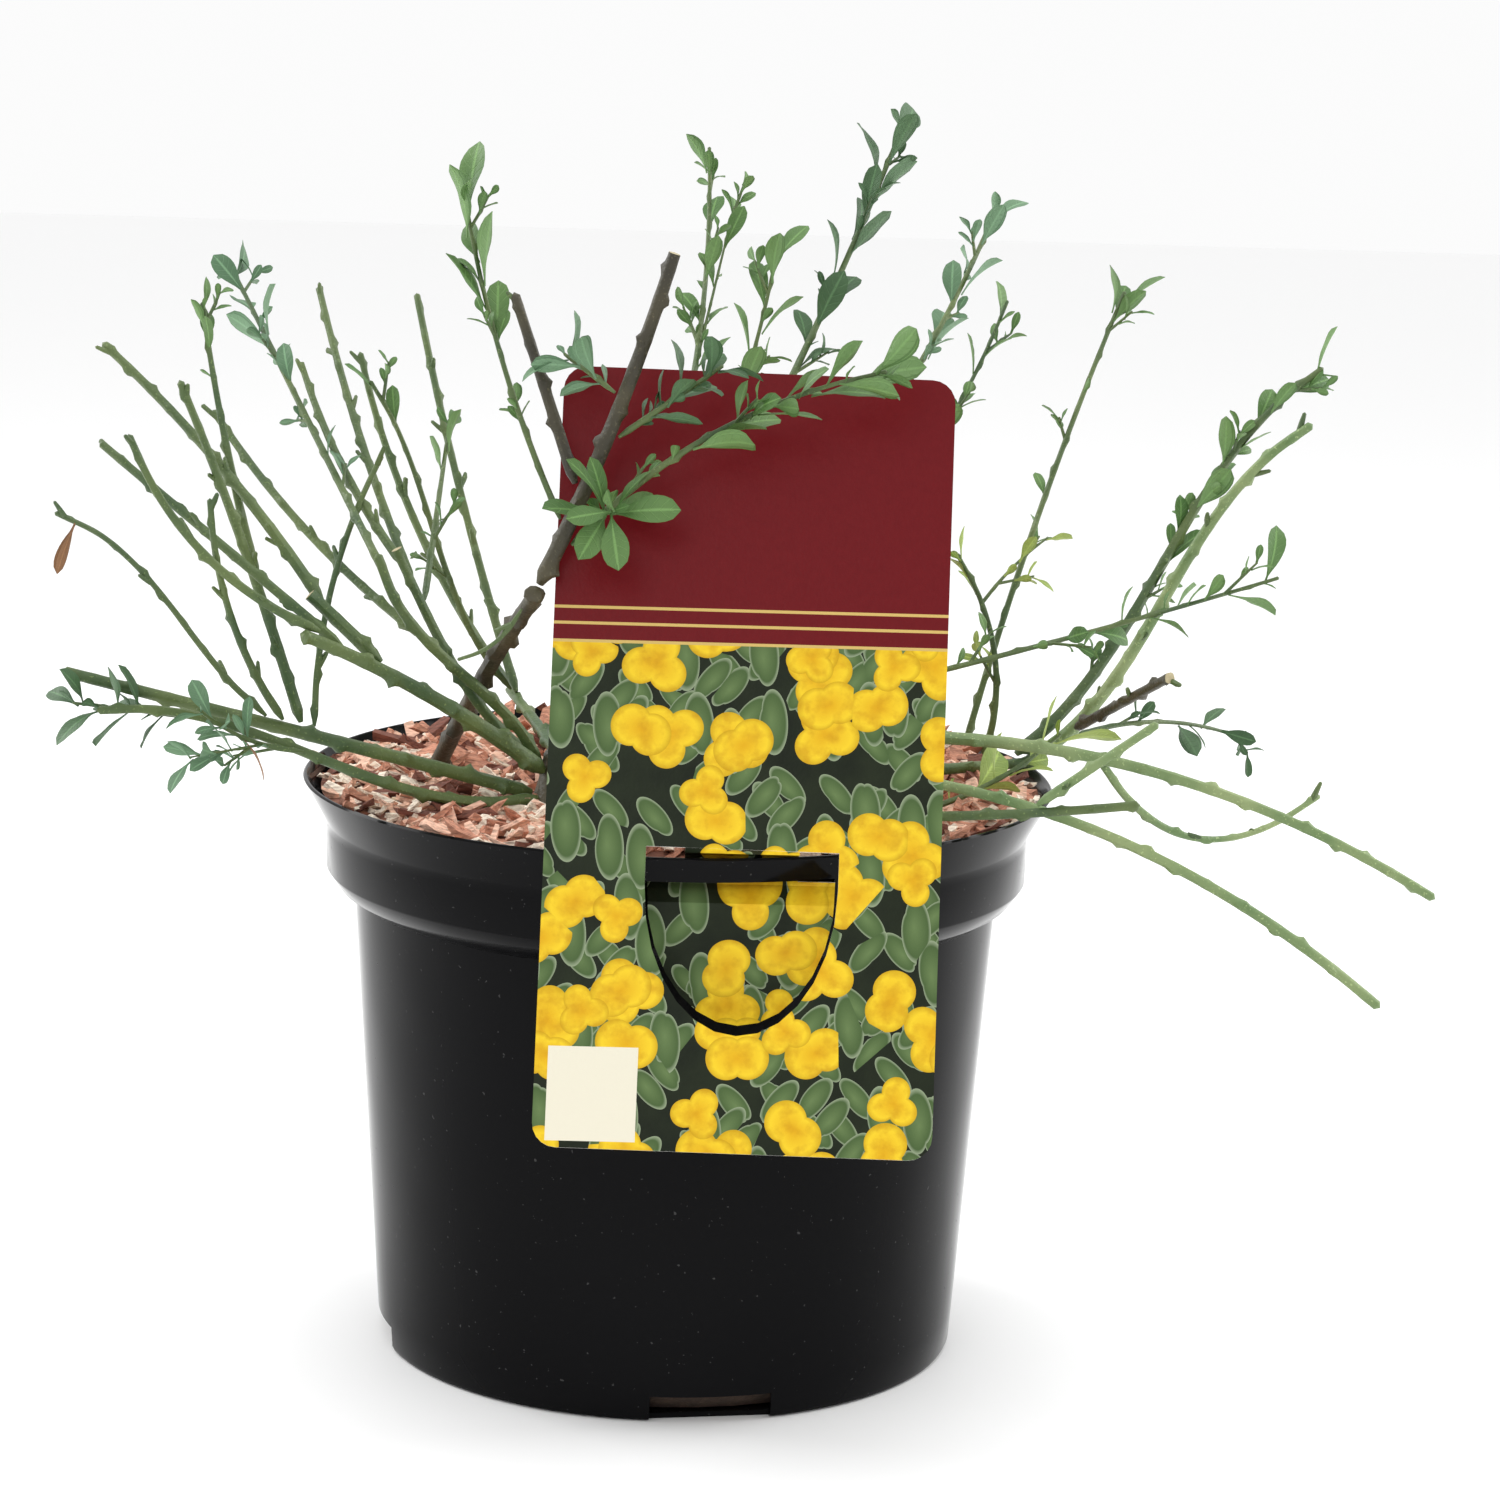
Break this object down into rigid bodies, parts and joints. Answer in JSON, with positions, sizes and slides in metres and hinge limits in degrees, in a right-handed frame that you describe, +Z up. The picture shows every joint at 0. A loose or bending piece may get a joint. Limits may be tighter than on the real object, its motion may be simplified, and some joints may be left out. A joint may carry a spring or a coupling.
{
  "type": "potted broom",
  "caption": "Low broom shrub with many upright and spreading canes, in a round black nursery pot with wood-chip mulch and a hanging card label.",
  "frame": {"origin": "centre of the pot's flat underside, on the surface it stands on", "axes": "+Z up along the pot's axis, -Y towards the label, +X to the right of the label"},
  "size_m": [0.3044, 0.202, 0.2798],
  "materials": {
    "pot_black": "glossy moulded",
    "potting_mix": "damp, crumbly",
    "wood_chips": "rough chips",
    "label_card": "satin printed card",
    "cane_bark": "ridged green bark",
    "leaf_green": "soft matte leaf"
  },
  "bodies": {
    "root": {"bough_back": "cane_bark", "bough_front": "cane_bark", "bough_front_upper": "cane_bark", "bough_left_inner": "cane_bark", "bough_left_lower": "cane_bark", "bough_left_mid": "cane_bark", "bough_left_stout": "cane_bark", "bough_left_upper": "cane_bark", "bough_right_front": "cane_bark", "bough_right_long": "cane_bark", "bough_right_low": "cane_bark", "bough_right_main": "cane_bark", "cane_back_left": "cane_bark", "cane_back_tall": "cane_bark", "cane_front_dark": "cane_bark", "cane_front_thin": "cane_bark", "cane_inner_first": "cane_bark", "cane_inner_second": "cane_bark", "cane_left_behind": "cane_bark", "cane_left_crossing": "cane_bark", "cane_left_high": "cane_bark", "cane_left_mid": "cane_bark", "cane_left_near": "cane_bark", "cane_left_short": "cane_bark", "cane_left_stout": "cane_bark", "cane_left_tall": "cane_bark", "cane_left_thin": "cane_bark", "cane_right_arched": "cane_bark", "cane_right_dark": "cane_bark", "cane_right_near": "cane_bark", "cane_right_tall": "cane_bark", "crown_stem": "cane_bark", "plant_label": "label_card", "pot": "pot_black", "potting_mix": "potting_mix", "spray_back_first": "leaf_green", "spray_back_left": "leaf_green", "spray_back_second": "leaf_green", "spray_back_third": "leaf_green", "spray_front_high": "leaf_green", "spray_front_left": "leaf_green", "spray_front_long": "leaf_green", "spray_front_side": "leaf_green", "spray_inner": "leaf_green", "spray_left_crown": "leaf_green", "spray_left_low": "leaf_green", "spray_left_tall": "leaf_green", "spray_left_tip": "leaf_green", "spray_right_back": "leaf_green", "spray_right_level": "leaf_green", "spray_right_low": "leaf_green", "spray_right_rim": "leaf_green", "spray_right_tall": "leaf_green", "spray_right_twisted": "leaf_green", "spray_top_fifth": "leaf_green", "spray_top_first": "leaf_green", "spray_top_fourth": "leaf_green", "spray_top_second": "leaf_green", "spray_top_third": "leaf_green", "wood_mulch": "wood_chips"}
  },
  "joints": []
}
